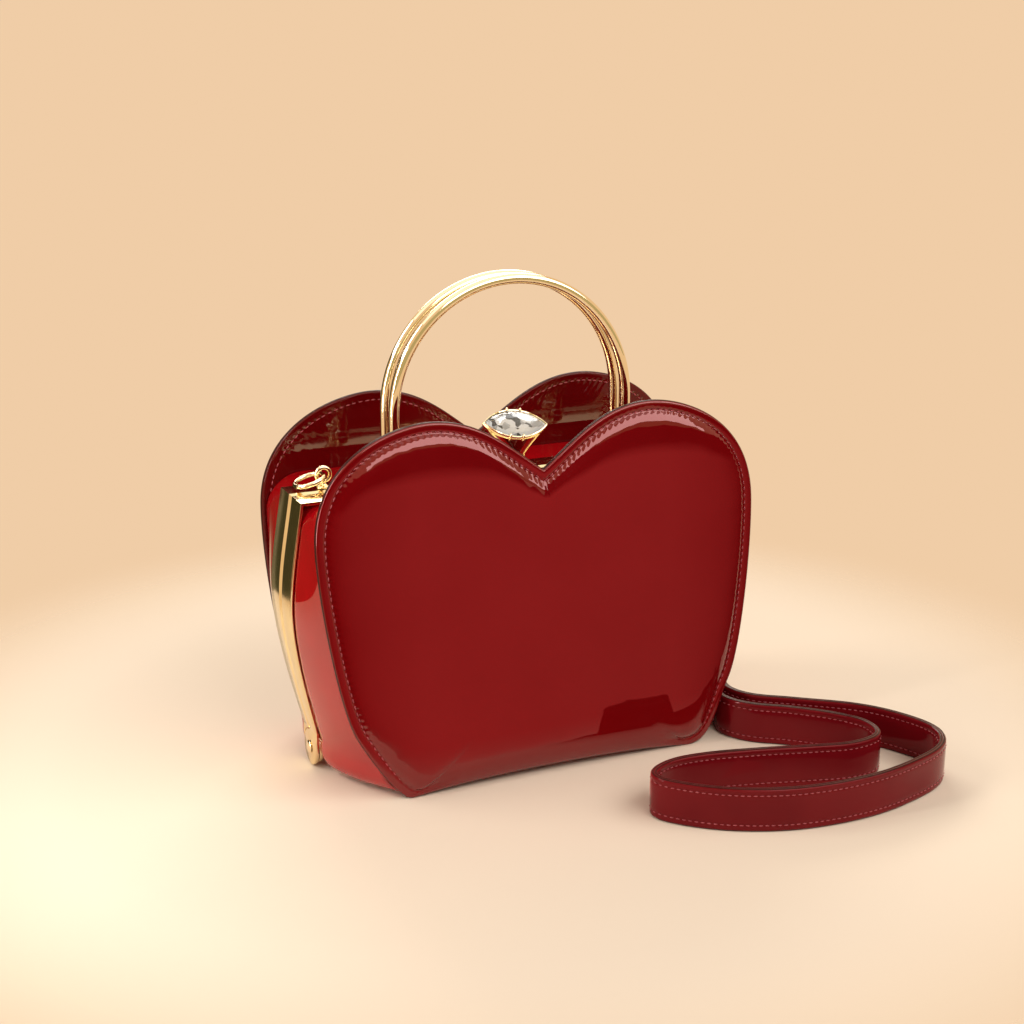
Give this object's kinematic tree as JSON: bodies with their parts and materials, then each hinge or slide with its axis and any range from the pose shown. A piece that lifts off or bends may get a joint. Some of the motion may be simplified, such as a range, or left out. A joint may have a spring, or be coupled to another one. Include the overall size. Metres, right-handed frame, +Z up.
{
  "type": "frame handbag",
  "caption": "Hard heart-shaped frame bag: padded panels, hinged metal channel frame, ring handles, stone-set lever clasp, loose flat shoulder strap with snap hooks.",
  "frame": {"origin": "on the floor under the middle of the standing bag, the strap left out", "axes": "+Z up, -Y out of the front panel, +X to the right of someone facing the front panel; x = 0 is the plane of symmetry"},
  "size_m": [0.2553, 0.2856, 0.2073],
  "materials": {
    "patent_panel": "patent, high gloss",
    "patent_gusset": "patent, high gloss",
    "strap_leather": "patent, high gloss",
    "gold": "pale gold plating, polished",
    "lining": "matt microsuede",
    "stone": "clear, faceted",
    "catch": "plated magnet cap"
  },
  "bodies": {
    "front_half": {"front_panel": "patent_panel", "front_gusset": "patent_gusset", "front_lining": "lining", "front_frame": "gold", "front_handle": "gold", "front_collar_left": "gold", "front_collar_right": "gold", "clasp_catch": "catch", "hinge_pin_left": "gold", "hinge_pin_right": "gold", "strap": "strap_leather", "strap_loop_a": "gold", "strap_loop_b": "gold", "strap_hook_a": "gold", "strap_hook_b": "gold", "strap_gate_a": "gold", "strap_gate_b": "gold"},
    "back_half": {"back_panel": "patent_panel", "back_gusset": "patent_gusset", "back_lining": "lining", "back_frame": "gold", "back_handle": "gold", "back_collar_left": "gold", "back_collar_right": "gold", "ring_lug_left": "gold", "ring_lug_right": "gold", "clasp_bracket": "gold"},
    "clasp": {"clasp_lever": "gold", "clasp_cup": "gold", "clasp_stone": "stone"},
    "left_strap_ring": {"left_ring": "gold"},
    "right_strap_ring": {"right_ring": "gold"}
  },
  "joints": [
    {"name": "frame_hinge", "type": "hinge", "parent": "front_half", "child": "back_half", "pos_m": [0, 0, 0.0083], "axis": [-1, 0, 0], "range_deg": [0, 60]},
    {"name": "clasp_lift", "type": "hinge", "parent": "back_half", "child": "clasp", "pos_m": [0, 0.0095, 0.1241], "axis": [-1, 0, 0], "range_deg": [0, 60]},
    {"name": "left_ring_swing", "type": "hinge", "parent": "back_half", "child": "left_strap_ring", "pos_m": [-0.082, 0.0055, 0.127], "axis": [0, 1, 0], "range_deg": [0, 212]},
    {"name": "right_ring_swing", "type": "hinge", "parent": "back_half", "child": "right_strap_ring", "pos_m": [0.082, 0.0055, 0.127], "axis": [0, -1, 0], "range_deg": [0, 212]}
  ]
}
